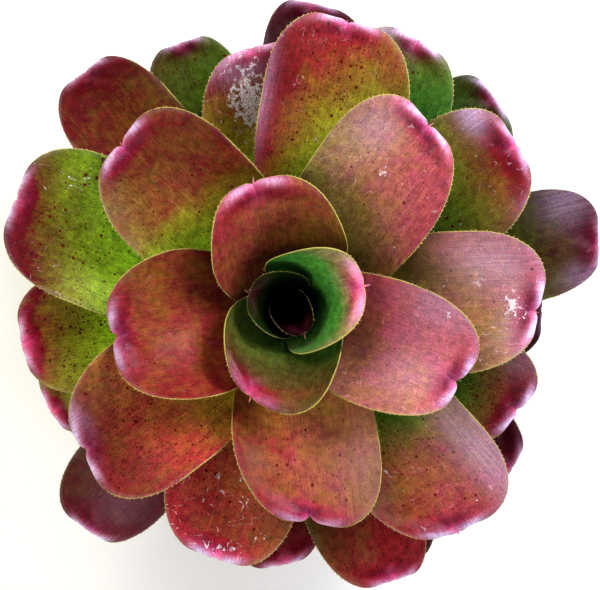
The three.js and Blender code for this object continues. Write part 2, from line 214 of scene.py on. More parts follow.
def polar(angle, length):
    """The plane vector of that angle and length."""
    return length * np.array([math.cos(angle), math.sin(angle)])


def walked(points):
    """A line through the points, with its unit tangents and the distance walked to each."""
    steps = np.linalg.norm(np.diff(points, axis=0), axis=1)
    along = np.concatenate([[0], np.cumsum(steps)])
    tangents = np.gradient(points, along, axis=0)
    tangents /= np.linalg.norm(tangents, axis=1, keepdims=True)
    return SimpleNamespace(points=points, tangents=tangents, along=along, length=along[-1])


def sampled(line, values, distance):
    """Rows of values that are known at the points of a walked line, at those distances."""
    return np.stack([np.interp(distance, line.along, column) for column in values.T], axis=-1)


def on_line(line, distance):
    """Points and tangents of a walked line at those distances. Past its ends it runs straight."""
    held = np.clip(distance, 0, line.length)
    tangent = sampled(line, line.tangents, held)
    return sampled(line, line.points, held) + tangent * (distance - held)[..., None], tangent


def bezier(a, b, c, d, steps=300):
    """The cubic curve from a to d that b and c pull on, as points."""
    s = np.linspace(0, 1, steps)[:, None]
    return (1 - s) ** 3 * a + 3 * (1 - s) ** 2 * s * b + 3 * (1 - s) * s**2 * c + s**3 * d


def stem_line():
    """The stem's side and its dome, a quarter of an ellipse, from the foot to the crown."""
    foot = np.array([[STEM_RADIUS, STEM_FOOT]])
    angle = np.linspace(0, math.pi / 2, 400)
    dome = (STEM_RADIUS * np.cos(angle), STEM_SHOULDER + STEM_DOME * np.sin(angle))
    return walked(np.concatenate([foot, np.stack(dome, axis=1)]))


def leaf_of(order):
    """What the points of a leaf need: its midrib and its lengths.

    The midrib is two cubic curves in an upright plane, from the stem to the neck of the leaf and
    from the neck to where leaves of its age end. The leaf stops at its own reach.
    """
    azimuth, reach, half, sway, slant, pinch, notch = LEAVES[order]
    age = order / OLDEST
    stem = stem_line()
    joint = np.array(lerp(YOUNGEST_JOINT, OLDEST_JOINT, age) * stem.length)
    start, tangent = on_line(stem, joint)
    facing = np.array([tangent[1], -tangent[0]])
    start = start + JOINT_GAP * facing
    spread = YOUNG_NECK_SPREAD * (1 - math.exp(-order / 4))
    drop = YOUNG_NECK_DROP * math.exp(-order / 1.3) + OLD_NECK_DROP * age**1.1
    neck = np.array([YOUNGEST_NECK_RADIUS + NECK_SPACING * order + spread, NECK_HEIGHT - drop])
    spread = TIP_SPREAD * (1 - math.exp(-((order / 7.2) ** 1.8)))
    drop = YOUNG_TIP_DROP * math.exp(-order / 1.6) + OLD_TIP_DROP * age**1.15
    tip = np.array([YOUNGEST_TIP_RADIUS + spread, TIP_HEIGHT - drop])
    chord = tip - neck
    rise = math.atan2(chord[1], chord[0])
    start_angle = math.atan2(facing[1], facing[0])
    neck_angle = min(rise + BEND_IN, STEEPEST_NECK)
    pull = SHEATH_PULL * np.linalg.norm(neck - start)
    pulls = (start + polar(start_angle, pull), neck - polar(neck_angle, pull))
    sheath = bezier(start, *pulls, neck)
    pull = BLADE_PULL * np.linalg.norm(chord)
    pulls = (neck + polar(neck_angle, pull), tip - polar(rise - BEND_OUT, pull))
    blade = bezier(neck, *pulls, tip)
    midrib = walked(np.concatenate([sheath, blade[1:]]))
    sheath_length = walked(sheath).length
    outwards = midrib.along >= sheath_length
    length = np.interp(reach, midrib.points[outwards, 0], midrib.along[outwards])
    return SimpleNamespace(
        order=order,
        name=f"leaf_{order + 1:02d}",
        azimuth=azimuth * DEGREE,
        half=half,
        sway=sway,
        slant=slant,
        pinch=pinch,
        notch=notch,
        midrib=midrib,
        sheath_length=sheath_length,
        length=length,
        blade=length - sheath_length,
        wrap=lerp(YOUNG_WRAP, OLD_WRAP, smoothstep(order, 6, 12)),
        trough=lerp(YOUNG_TROUGH_RADIUS, OLD_TROUGH_RADIUS, 1 - math.exp(-((order / 6) ** 1.4))),
    )


def half_width(leaf, distance, radius):
    """Half the leaf's width: wide at the sheath, narrower at the neck, wide again in the blade."""
    up = distance / leaf.sheath_length
    out = (distance - leaf.sheath_length) / leaf.blade
    sheath = min(SHEATH_HALF, leaf.half * SHEATH_SHARE)
    neck = min(NECK_HALF, leaf.half * NECK_SHARE)
    below = lerp(lerp(0.5 * sheath, sheath, smoothstep(up, 0, 0.5)), neck, smoothstep(up, 0.5, 1))
    above = lerp(neck, leaf.half, smoothstep(out, 0, 0.6))
    return np.minimum(np.where(up < 1, below, above), leaf.wrap * radius)


def ripple(leaf, distance, v):
    """How far the live leaf stands off the plain trough: low swells, and waves at the margins.

    Sines of the distance along and across the leaf with phases of its own. They fade to nothing
    in the sheath, where the leaves lie close together.
    """
    phase = 2.4 * leaf.order
    swell = np.sin(distance / 17 + phase) * np.sin(2.1 * v + 1.7 * phase)
    swell += 0.6 * np.sin(distance / 9.5 + 2.3 * phase) * np.sin(4.3 * v + phase)
    waves = np.sin(distance / 6.3 + 3.1 * phase + 2 * np.sign(v))
    waves += 0.6 * np.sin(distance / 3.7 + phase)
    free = smoothstep(distance, leaf.sheath_length, leaf.sheath_length + 50)
    return free * (SWELL_HEIGHT * swell + WAVE_HEIGHT * np.abs(v) ** 5 * waves)


def leaf_surface(leaf, u, t):
    """The middle surface of a leaf. u is 0 at the stem and 1 at the end, t is -1 at the right
    margin, 0 on the line to the pinched point and 1 at the left margin.

    Each point lies on a trough, which is a ring round the plant's axis in the sheath and turns
    into a channel square to the midrib. The end of the blade is rounded and notched, rises into a
    crest and rolls over along an arc.
    """
    v = t + leaf.pinch * (1 - t * t) * smoothstep(u, 0.3, 1)
    rounding = 1 - np.sqrt(np.maximum(0, 1 - np.abs(v) ** END_SQUARENESS))
    closing = min(END_ROUNDING, LEAST_ROUNDING * leaf.length)
    lobes = leaf.length + LOBE_REACH + LOBE_GAIN * leaf.notch
    lobes = lobes - closing * rounding + leaf.slant * v
    notch = NOTCH_DEPTH * leaf.notch * np.exp(-np.abs(t * leaf.half) / NOTCH_WIDTH)
    end = lobes - notch
    distance = u * end
    rib, tangent = on_line(leaf.midrib, distance)
    rise = np.arctan2(tangent[..., 1], tangent[..., 0])
    free = smoothstep(distance, leaf.sheath_length * 0.75, leaf.sheath_length + 45)
    radius = 1 / lerp(1 / rib[..., 0], 1 / leaf.trough, free)
    facing = lerp(math.pi, rise + math.pi / 2, free)
    wide = half_width(leaf, distance, radius)
    across = v * wide / radius
    lift = radius * (1 - np.cos(across)) + ripple(leaf, distance, v)

    near = bell(t, LIP_SPREAD)
    pinched = bell(t, PINCH_SPREAD)
    rolled = np.maximum(0, LIP_LENGTH - (end - distance))
    curl = LIP_CURL * near * (1 - PINCH_STIFFNESS * pinched) / LIP_LENGTH
    forward = np.sin(curl * rolled) / curl - rolled
    back = lobes - distance
    relief = CREST * bell(back - CREST_BACK, RELIEF_SPREAD)
    relief = relief - DIP * bell(back - DIP_BACK, RELIEF_SPREAD)
    raised = relief * near * (1 - PINCH_DIP * pinched)
    down = (1 - np.cos(curl * rolled)) / curl - raised

    out = rib[..., 0] + lift * np.cos(facing) + forward * np.cos(rise) + down * np.sin(rise)
    up = rib[..., 1] + lift * np.sin(facing) + forward * np.sin(rise) - down * np.cos(rise)
    left = radius * np.sin(across) + leaf.sway * smoothstep(distance / leaf.length, 0.3, 1)
    cos, sin = math.cos(leaf.azimuth), math.sin(leaf.azimuth)
    points = np.stack([out * cos - left * sin, out * sin + left * cos, up], axis=-1)
    to_side = wide * (1 - np.abs(v))
    return SimpleNamespace(
        points=points,
        across=v * wide,
        along=distance,
        margin=np.minimum(to_side, end - distance),
        from_point=np.hypot(t * leaf.half, end - distance),
        from_end=end - distance,
        from_lobes=lobes - distance,
        blade=clip01((distance - leaf.sheath_length) / leaf.blade),
    )


# ---------- the skin of each leaf ----------

# What the skin's material reads at each vertex, besides its place and its two colours.
AMOUNTS = (
    "flushed",
    "freckled",
    "bloom_and_sheen_cover",
    "scurfy",
    "scratched",
    "grainy",
    "lit",
    "margin_mm",
    "upward",
    "horny",
)

# A leaf's skin is green flesh under a red flush, and both go through a scale of colours.
FLESH_SCALE = ("flesh_deep", "flesh_green", "flesh_lime")
FLUSH_SCALE = ("flush_rose", "flush_brick", "flush_maroon", "flush_purple")

# How each leaf is coloured, from the youngest to the oldest: its place on the scale of greens and
# on the scale of reds, how bright it is with painted shade in it (the young leaves deep in the cup
# are painted nearly black), how flushed it is at the neck, half way and at the end, how much more
# it is flushed on its left side, how much darker painted shade makes it at the neck than at the
# end (painted light brightens it there, below 0), how crimson its tip is, how freckled it is, how
# much bloom and painted sheen it has, and how scurfy it is.
HABITS = (
    (0, 1, 0.03, 0.3, 0.3, 0.4, 0, 0.6, 0, 0, 0, 0),
    (0, 0.9, 0.1, 0.2, 0.3, 0.4, 0, 0.6, 0.6, 0, 0, 0),
    (0.3, 0.5, 0.24, 0, 0.05, 0.05, 0, 0.5, 0.4, 0, 0, 0),
    (0.5, 0, 1.6, 0, -0.1, 0.4, -0.15, 0.35, 0.5, 0, 0.4, 0.1),
    (0.3, 0.6, 0.97, 0.11, 0.37, 0.66, -0.1, -0.6, 0.45, 0, 0.3, 0),
    (0.9, 0.3, 1.04, 0.84, 0.82, 0.93, 0.1, 0.2, 0.8, 0.1, 0.5, 0.05),
    (0.85, 0.14, 1.16, 0.93, 0.97, 0.9, 0.2, 0.1, 1.15, 0.05, 0.7, 0.3),
    (1, 0.34, 0.9, 0.94, 0.92, 0.89, 0.05, -0.25, 1, 0.05, 0.5, 0.1),
    (0.85, 0.15, 1.12, 0.3, 0.8, 0.91, -0.25, 0.25, 1.1, 0.15, 0.6, 0.3),
    (0.8, 0.24, 1.04, 0.7, 0.83, 0.86, -0.1, -1.3, 1, 0.3, 0.4, 0.05),
    (1, 0.55, 0.98, -0.07, 0.84, 0.82, -0.1, -0.25, 1, 0.45, 0.7, 0),
    (0.85, 0.2, 1.15, 0.1, 0.7, 0.85, 0.15, -0.15, 1.2, 0.15, 0.8, 0.5),
    (1, 0.42, 1.08, 0.4, 0.88, 0.87, 0.1, -2, 0.9, 0.8, 0.8, 0.05),
    (0.95, 0.4, 1.1, -0.1, 0.48, 0.95, 0.5, -0.8, 0.9, 0.9, 0.7, 0.2),
    (0.8, 0.22, 0.96, -0.1, 0.75, 0.97, 0, 0, 1, 0.5, 0.8, 0.3),
    (0.95, 0.85, 1.1, -0.4, 0.18, 0.88, 0.3, -1.7, 0.7, 0.75, 0.9, 0.3),
    (0.8, 0.6, 1, -0.1, 0.22, 0.98, -0.1, 0.7, 1, 0.3, 0.5, 0.3),
    (0.5, 0.5, 1.62, 0.5, 0.86, 0.88, -0.1, -1.7, 1, 0.3, 0.8, 0.9),
    (0.95, 0.75, 1.5, 0, 0.75, 1.05, -0.1, -0.8, 0.7, 0.3, 0.6, 1),
    (0.7, 0.5, 0.88, 0.2, 0.26, 0.83, 0.15, 0.35, 1, 0.8, 0.8, 0.1),
    (1, 0.8, 1.72, -0.4, 0.3, 0.9, -0.1, -1.7, 0.7, 0.9, 0.8, 0.1),
    (0.6, 0.6, 0.78, -0.5, -0.5, 0.4, 0.25, -0.3, 0.9, 0.6, 0.9, 0),
    (0.6, 0.6, 1.12, 0.9, 0.85, 1, 0.2, 0.2, 0.9, 0.3, 0.6, 0),
    (1, 0.6, 0.82, 0.89, 0.85, 0.97, 0.05, -1.1, 0.8, 0.5, 0.8, 0),
    (0.75, 0.85, 0.6, 0, 0.45, 1, 0, 0.2, 0.9, 0.7, 0.3, 0),
    (0.4, 0.75, 0.95, 0.9, 0.9, 0.95, 0.1, -0.9, 0.9, 0.2, 0.9, 0.1),
    (0.8, 0.95, 0.55, 0.9, 0.95, 1, 0.2, 0, 0.8, 0.2, 0.5, 0),
    (0.5, 1, 0.9, 1, 1, 1, 0, 0, 0.5, 0.1, 0.5, 0),
    (0.6, 0.8, 0.45, -0.3, -0.2, 0.35, 0, 0, 0.7, 0.3, 0.8, 0),
    (0.2, 0.8, 1.35, 0.8, 0.9, 0.95, 0, 0, 0.7, 0.1, 0.7, 0),
    (0.75, 0.85, 0.62, -0.1, 0.2, 0.5, 0.25, 0, 0.7, 0.6, 0.8, 0),
    (0.2, 1, 0.43, 1, 1, 1, 0, 0, 0.3, 0.1, 0.3, 0),
    (0.8, 0.8, 1.75, 0.1, 0.2, 0.6, 0, 0, 0.8, 0.2, 0.8, 0),
    (0.3, 0.9, 0.7, 0.9, 0.9, 0.95, 0, 0, 0.6, 0.1, 0.6, 0),
)

# Where the marks of the rolled end lie: how far behind the tops of its lobes and how far they
# spread there, in millimetres, then how far beside the pinched point and how far they spread
# there, as shares of half the leaf's width.
CRIMSON_BAND = (9, 6, 0, 0.27)
CRIMSON_HALO = (6, 6, 0, 0.5)
# painted shade: the dark crease behind the lobes
PAINTED_CREASE_SHADE = (12, 3, 0, 0.25)
# the lobes are pink, and carry a painted highlight of bloom on their crest
PINK_LOBES_AND_HIGHLIGHT = (3.5, 3, 0.22, 0.16)
POINT_SPREAD = 6  # mm of the end that share the colour of the pinched point
# the bloom near the margin is a painted highlight along the edge
RIM = 1.5  # mm from the margin to the middle of its bloom

# Local marks: the leaf's number, what changes, the mark's middle as a share of the blade's length
# and of half its width, how far it spreads along and across, and by how much it changes there.
# Marks that change the tone paint shade, such as the shadow a leaf above casts, and lighter
# patches where more light falls; marks of bloom paint a sheen as well as waxy bloom.
TOUCHES = (
    (5, "flesh", 0.35, 0.9, 0.2, 0.3, 0.5),
    (5, "tone_and_shade", 0.62, 0, 0.15, 1, -0.2),
    (5, "tone_and_shade", 0.95, 0, 0.1, 1, 0.4),
    (6, "tone_and_shade", 0.28, 0, 0.1, 0.5, -0.35),
    (7, "bloom_and_sheen", 0.8, 0.9, 0.25, 0.4, 0.35),
    (7, "bloom_and_sheen", 0.75, -0.2, 0.25, 0.5, 0.16),
    (7, "tone_and_shade", 0.62, 0, 0.15, 1, -0.25),
    (7, "tone_and_shade", 0.33, 0, 0.12, 1, 0.35),
    (7, "flush", 0.36, 0, 0.15, 1, -0.12),
    (7, "scurf", 0.82, 0.75, 0.05, 0.2, 1),
    (7, "scurf", 0.97, -0.35, 0.03, 0.12, 1),
    (8, "tone_and_shade", 0.33, -0.8, 0.16, 0.6, -0.5),
    (9, "tone_and_shade", 0.9, 0, 0.12, 1, -0.15),
    (9, "bloom_and_sheen", 0.85, 0.5, 0.15, 0.4, 0.2),
    (9, "scurf", 0.7, 0.05, 0.07, 0.15, 1.1),
    (10, "tone_and_shade", 0.45, -0.9, 0.4, 0.5, -0.4),
    (10, "red", 0.5, -0.9, 0.4, 0.6, 0.25),
    (10, "bloom_and_sheen", 0.75, 0.8, 0.3, 0.4, 0.12),
    (11, "flesh", 0.8, 0, 0.25, 1, -0.3),
    (11, "flush", 0.35, 0.9, 0.2, 0.5, -0.3),
    (11, "tone_and_shade", 0.88, 0, 0.12, 1, -0.15),
    (11, "tone_and_shade", 0.3, 0.9, 0.2, 0.6, 0.4),
    (11, "tone_and_shade", 0.55, 0, 0.15, 1, 0.2),
    (12, "bloom_and_sheen", 0.8, 0.6, 0.25, 0.5, 0.36),
    (12, "bloom_and_sheen", 0.9, -0.4, 0.1, 0.5, 0.2),
    (12, "tone_and_shade", 0.7, -0.8, 0.3, 0.4, -0.25),
    (12, "tone_and_shade", 0.9, 0.2, 0.12, 0.8, -0.12),
    (12, "scurf", 0.9, -0.05, 0.09, 0.3, 1.05),
    (12, "scratches", 0.88, -0.1, 0.1, 0.35, 0.6),
    (13, "freckles", 0.75, 0.1, 0.3, 0.6, 0.8),
    (13, "bloom_and_sheen", 0.95, -0.5, 0.05, 0.3, 0.3),
    (13, "tone_and_shade", 0.55, 0, 0.22, 1, 0.2),
    (13, "tone_and_shade", 0.92, 0, 0.1, 1, -0.4),
    (13, "flesh", 0.8, 0, 0.3, 1, -0.4),
    (14, "flush", 0.35, 0.9, 0.25, 0.4, 0.4),
    (14, "flush", 0.85, -0.8, 0.12, 0.3, 0.3),
    (14, "tone_and_shade", 0.65, 0.8, 0.4, 0.45, -0.35),
    (14, "red", 0.65, 0.9, 0.4, 0.4, 0.15),
    (14, "bloom_and_sheen", 0.6, 1, 0.3, 0.15, 0.25),
    (15, "bloom_and_sheen", 0.8, 0.8, 0.3, 0.35, 0.4),
    (15, "tone_and_shade", 0.5, -0.8, 0.35, 0.5, -0.35),
    (15, "red", 0.6, -0.8, 0.4, 0.6, 0.2),
    (15, "flush", 0.45, 0.3, 0.12, 0.3, -0.5),
    (15, "tone_and_shade", 0.6, 0, 0.12, 0.6, 0.22),
    (15, "scurf", 0.95, 0.2, 0.04, 0.5, 0.8),
    (16, "scratches", 0.8, -0.6, 0.15, 0.3, 0.7),
    (17, "bloom_and_sheen", 0.93, 0.7, 0.06, 0.3, 0.6),
    (17, "bloom_and_sheen", 0.93, -0.9, 0.08, 0.2, 0.3),
    (18, "scurf", 0.9, 0, 0.12, 0.6, 0.4),
    (18, "scurf", 0.97, 0.2, 0.04, 0.3, 0.6),
    (19, "scurf", 0.75, 0.2, 0.25, 0.4, 1.25),
    (19, "bloom_and_sheen", 0.93, 0.3, 0.08, 0.5, 0.3),
    (19, "tone_and_shade", 0.6, 0.1, 0.15, 0.8, 0.6),
    (19, "tone_and_shade", 0.9, 0, 0.1, 1, -0.3),
    (20, "bloom_and_sheen", 0.92, 0.8, 0.1, 0.3, 0.2),
    (20, "freckles", 0.65, 0, 0.15, 0.5, 0.6),
    (20, "flush", 0.65, 0, 0.15, 0.4, -0.4),
    (21, "freckles", 0.7, -0.25, 0.12, 0.3, 1.8),
    (22, "bloom_and_sheen", 0.92, 0.7, 0.08, 0.4, 0.5),
    (23, "tone_and_shade", 0.9, 0, 0.15, 1, 0.6),
    (24, "tone_and_shade", 0.92, 0, 0.12, 1, -0.2),
    (25, "bloom_and_sheen", 0.9, 0.7, 0.12, 0.5, 0.25),
    (25, "bloom_and_sheen", 0.9, -0.8, 0.1, 0.3, 0.2),
    (26, "bloom_and_sheen", 0.75, 0.3, 0.2, 0.8, 0.12),
)


def linear(colour):
    """The linear value of an sRGB hex colour."""
    srgb = np.array([int(colour[i : i + 2], 16) / 255 for i in (1, 3, 5)])
    return np.where(srgb <= 0.04045, srgb / 12.92, ((srgb + 0.055) / 1.055) ** 2.4)


def on_scale(colours, names, place):
    """The colour at a place from 0 to 1 on the scale that those colours make."""
    table = np.array([getattr(colours, name) for name in names])
    marks = np.linspace(0, 1, len(names))
    return np.stack([np.interp(place, marks, channel) for channel in table.T], axis=-1)


def end_mark(leaf, at, back, length, aside, width):
    """How strong a mark of the rolled end is at the points of a leaf: a bell curve behind the
    lobes, times one on each side of the pinched point."""
    beside = np.abs(at.across / leaf.half - leaf.pinch)
    return bell(at.from_lobes - back, length) * bell(beside - aside, width)


def pigments(leaf, at, colours):
    """The skin's pigments at the points of a leaf: two colours and the amounts of each mark.

    The flush changes from the neck to the end, and is stronger on one side. A crimson band with a
    crease of painted shade lies in the dip before the rolled end, and the pinched point and the
    lobes beside it are pink. Bloom with a painted sheen lies on those lobes as a painted
    highlight, along the margins and where a local mark puts it. Painted shade darkens the neck,
    the leaves deep in the cup and where a local mark puts it.
    """
    habit = HABITS[leaf.order]
    green, red, tone_and_shade, low, middle, high, side, base, tip, freckles, bloom_and_sheen, scurf = habit
    v = at.across / leaf.half
    amount = {
        "flesh": green + 0 * v,
        "red": red + 0 * v,
        # painted shade: the leaf darkens from the end towards its neck, where the leaves above
        # shade it
        "tone_and_shade": tone_and_shade * (1 - base * (1 - smoothstep(at.blade, 0.15, 0.85))),
        "flush": np.interp(at.blade, (0.2, 0.6, 0.93), (low, middle, high)) + side * v,
        "freckles": freckles + 0 * v,
        "bloom_and_sheen": 0 * v,
        "scurf": 0.3 * scurf + 0 * v,
        "scratches": scurf + 0 * v,
    }
    for number, what, along, across, length, width, change in TOUCHES:
        if number == leaf.order + 1:
            place = bell(at.blade - along, length) * bell(v - across, width)
            amount[what] = amount[what] + change * place
    band = tip * end_mark(leaf, at, *CRIMSON_BAND)
    band = band + 0.3 * tip * end_mark(leaf, at, *CRIMSON_HALO)
    # painted shade in the crease behind the lobes
    crease_shade = tip * end_mark(leaf, at, *PAINTED_CREASE_SHADE)
    # the pink lobes, whose crest carries a painted highlight
    lobes = tip * end_mark(leaf, at, *PINK_LOBES_AND_HIGHLIGHT)
    point = tip * bell(at.from_point, POINT_SPREAD)
    # painted highlight: a thin pale line of bloom just inside the margin
    rim = bell(at.margin - RIM, RIM) * smoothstep(at.blade, 0.4, 0.9)
    flush = on_scale(colours, FLUSH_SCALE, amount["red"])
    flush = lerp(flush, np.array(colours.crimson), clip01(band)[..., None])
    flush = lerp(flush, np.array(colours.tip), clip01(point + 0.5 * lobes)[..., None])
    # both colours are darkened by the painted shade of the leaf and of the crease behind its lobes
    tone_and_shade = (amount["tone_and_shade"] * (1 - 0.4 * crease_shade))[..., None]
    return {
        "flesh": on_scale(colours, FLESH_SCALE, amount["flesh"]) * tone_and_shade,
        "flush": flush * tone_and_shade,
        "flushed": amount["flush"] + 0.8 * band + 0.6 * lobes + point,
        "freckled": amount["freckles"] * smoothstep(at.from_end, 2, 8),
        # bloom with painted sheen: on the lobes as a painted highlight, along the margins and
        # where local marks put it
        "bloom_and_sheen_cover": amount["bloom_and_sheen"] * (1 - 0.8 * clip01(band)) + bloom_and_sheen * (1.3 * lobes + 0.12 * rim),
        "grainy": clip01(band + lobes + point),
        "scurfy": amount["scurf"],
        "scratched": amount["scratches"],
        "lit": clip01(amount["tone_and_shade"]),
    }


# ---------- meshes ----------

# How finely the surfaces are divided: a leaf's rows up its sheath, along its blade and over its
# end, its columns on each side, then the end spine, the stem and its cut face.
SHEATH_ROWS = 16
BLADE_ROWS = 34
END_ROWS = 28
END_ZONE = 34  # mm that the rows over the end take up
HALF_COLUMNS = 30
SPINE_SIDES = 8
SPINE_ROWS = 8
STEM_SIDES = 120
STEM_ROWS = 60
FACE_ROWS = 14
BETWEEN_LEAVES = 40.0  # mm from one leaf's place in the skin's patterns to the next
OFF_MARGIN = 20.0  # mm, so far from a margin that its line doesn't show


def net_rows(leaf):
    """The rows of a leaf's grid as shares of its length, closest together over its end."""
    zone = min(END_ZONE, 0.5 * leaf.blade)
    sheath = np.linspace(0, leaf.sheath_length, SHEATH_ROWS, endpoint=False)
    blade = np.linspace(leaf.sheath_length, leaf.length - zone, BLADE_ROWS, endpoint=False)
    end = leaf.length - zone * np.linspace(1, 0, END_ROWS) ** 1.4
    return np.concatenate([sheath, blade, end]) / leaf.length


def net_columns():
    """The columns of a leaf's grid from -1 to 1, closest at the pinched point and the margins."""
    s = np.linspace(-1, 1, 2 * HALF_COLUMNS + 1)
    return s - 0.6 * np.sin(2 * math.pi * s) / (2 * math.pi)


def unit(vectors):
    """Vectors of length 1."""
    return vectors / np.maximum(np.linalg.norm(vectors, axis=-1, keepdims=True), 1e-9)


def quads(a, b, c, d):
    """Faces from four arrays of corners."""
    return np.stack([a, b, c, d], axis=-1).reshape(-1, 4)


def blade_shell(at, u, t):
    """The leaf's surface given its thickness, as one closed shell with a rounded margin.

    Each row is a ring: the upper face from right to left, the left margin, the lower face back
    and the right margin. Two more strips close the end and one closes the base.
    """
    points = at.points
    along = np.gradient(points, axis=0)
    aside = np.gradient(points, axis=1)
    normal = unit(np.cross(along, aside))
    rows, columns = points.shape[:2]
    middle = lerp(SHEATH_THICKNESS, MID_THICKNESS, smoothstep(u, 0.3, 0.6))
    half = 0.5 * lerp(middle, EDGE_THICKNESS, t**2)[..., None]
    upper = points + half * normal
    lower = points - half * normal
    left = points[:, -1] + EDGE_NOSE * unit(aside[:, -1])
    right = points[:, 0] - EDGE_NOSE * unit(aside[:, 0])
    ring = np.concatenate([upper, left[:, None], lower[:, ::-1], right[:, None]], axis=1)
    end = points[-1] + EDGE_NOSE * unit(along[-1])
    count = 2 * columns + 2
    index = np.arange(rows * count).reshape(rows, count)
    turned = np.roll(index, -1, axis=1)
    sides = quads(index[:-1], index[1:], turned[1:], turned[:-1])

    top = index[:, :columns]
    bottom = index[:, columns + 1 : -1][:, ::-1]
    nose = rows * count + np.arange(columns)
    nose[0], nose[-1] = index[-1, -1], index[-1, columns]
    over = quads(top[-1, :-1], nose[:-1], nose[1:], top[-1, 1:])
    beneath = quads(nose[:-1], bottom[-1, :-1], bottom[-1, 1:], nose[1:])
    base = quads(top[0, :-1], top[0, 1:], bottom[0, 1:], bottom[0, :-1])
    corners = [
        [top[0, -1], index[0, columns], bottom[0, -1]],
        [top[0, 0], bottom[0, 0], index[0, -1]],
    ]
    # the corner quads of the end have a side of no length, so they are triangles
    over = [list(dict.fromkeys(face)) for face in over.tolist()]
    beneath = [list(dict.fromkeys(face)) for face in beneath.tolist()]
    faces = sides.tolist() + over + beneath + base.tolist() + [list(map(int, c)) for c in corners]

    def around(values):
        values = np.broadcast_to(values, points.shape[:2] + values.shape[2:])
        parts = [values, values[:, -1:], values[:, ::-1], values[:, :1]]
        return np.concatenate(
            [np.concatenate(parts, axis=1).reshape(rows * count, *values.shape[2:]), values[-1]]
        )

    upward = np.zeros(count)
    upward[:columns] = 1
    upward[[columns, -1]] = 0.5
    upward = np.concatenate([np.tile(upward, rows), np.full(columns, 0.5)])
    shell = np.concatenate([ring.reshape(-1, 3), end])
    return shell, faces, around, upward, normal


def margin_line(at, side):
    """The line of one margin from the neck round to the pinched point, and the directions that
    point out of the blade."""
    points = at.points
    column = 0 if side < 0 else -1
    blade = at.blade[:, column] > 0.02
    middle = points.shape[1] // 2
    nose = slice(1, middle) if side < 0 else slice(-2, middle, -1)
    aside = side * unit(np.gradient(points, axis=1)[blade, column])
    ahead = unit(np.gradient(points, axis=0))[-1, nose]
    edge = np.concatenate([points[blade, column], points[-1, nose]])
    return edge, np.concatenate([aside, ahead])


def teeth(edge, out, spacing, length, rng):
    """Small spines along a margin that lean to the tip: pyramids on four corners in the margin."""
    walk = walked(edge)
    count = int(walk.length / spacing)
    if count < 1:
        return np.zeros((0, 5, 3))
    places = (np.arange(count) + 0.5 + rng.uniform(-0.3, 0.3, count)) * walk.length / count
    size = rng.uniform(0.6, 1.15, count)[:, None]
    along = unit(sampled(walk, walk.tangents, places))
    out = sampled(walk, out, places)
    out = unit(out - along * np.sum(out * along, axis=-1, keepdims=True))
    spot = sampled(walk, edge, places)
    root = spot - TOOTH_ROOT * out
    wide = TOOTH_HALF * size * along
    thick = TOOTH_RIDGE * unit(np.cross(out, along))
    tip = spot + length * (out + TOOTH_LEAN * along) * size
    return np.stack([root - wide, root + thick, root + wide, root - thick, tip], axis=1)


def end_spine(at, normal, length, rng):
    """The stiff point of a leaf: a cone along a line that bends sideways and up, with its foot
    in the pinch of the end."""
    middle = at.points.shape[1] // 2
    foot = at.points[-1, middle]
    along = unit(foot - at.points[-4, middle])
    over = normal[-1, middle]
    aside = np.cross(over, along)
    turn = 0.35 * rng.uniform(-0.8, 0.8)
    lift = rng.uniform(0.0, 0.4)
    s = np.linspace(0, 1, SPINE_ROWS)[:, None]
    line = foot + length * ((s - POINT_ROOT) * along + s**2 * (turn * aside + lift * over))
    thick = POINT_HALF * (1 - s) ** 0.8 + POINT_TIP
    angle = np.linspace(0, 2 * math.pi, SPINE_SIDES, endpoint=False)[:, None]
    ring = np.cos(angle) * aside + POINT_FLATNESS * np.sin(angle) * over
    return line[:, None] + thick[..., None] * ring


def tube_faces(rows, sides, first):
    """The faces of a closed tube of rings, from vertex first on. The rings run clockwise seen
    from their far end."""
    index = first + np.arange(rows * sides).reshape(rows, sides)
    turned = np.roll(index, -1, axis=1)
    faces = quads(index[:-1], turned[:-1], turned[1:], index[1:]).tolist()
    return [index[0, ::-1].tolist()] + faces + [index[-1].tolist()]


def make_object(name, points, faces, attributes, material):
    """A mesh object from points in millimetres, with named values at its vertices."""
    mesh = bpy.data.meshes.new(name)
    mesh.from_pydata((np.asarray(points) * MM).tolist(), [], faces)
    for key, values in attributes.items():
        values = np.asarray(values, dtype=np.float32)
        if values.ndim == 1:
            layer = mesh.attributes.new(key, "FLOAT", "POINT")
            layer.data.foreach_set("value", values)
        elif key == "blade_mm":
            layer = mesh.attributes.new(key, "FLOAT_VECTOR", "POINT")
            layer.data.foreach_set("vector", values.ravel())
        else:
            layer = mesh.attributes.new(key, "FLOAT_COLOR", "POINT")
            rgba = np.concatenate([values, np.ones((len(values), 1), np.float32)], axis=1)
            layer.data.foreach_set("color", rgba.ravel())
    mesh.shade_smooth()
    mesh.materials.append(material)
    mesh.update()
    made = bpy.data.objects.new(name, mesh)
    bpy.context.scene.collection.objects.link(made)
    return made


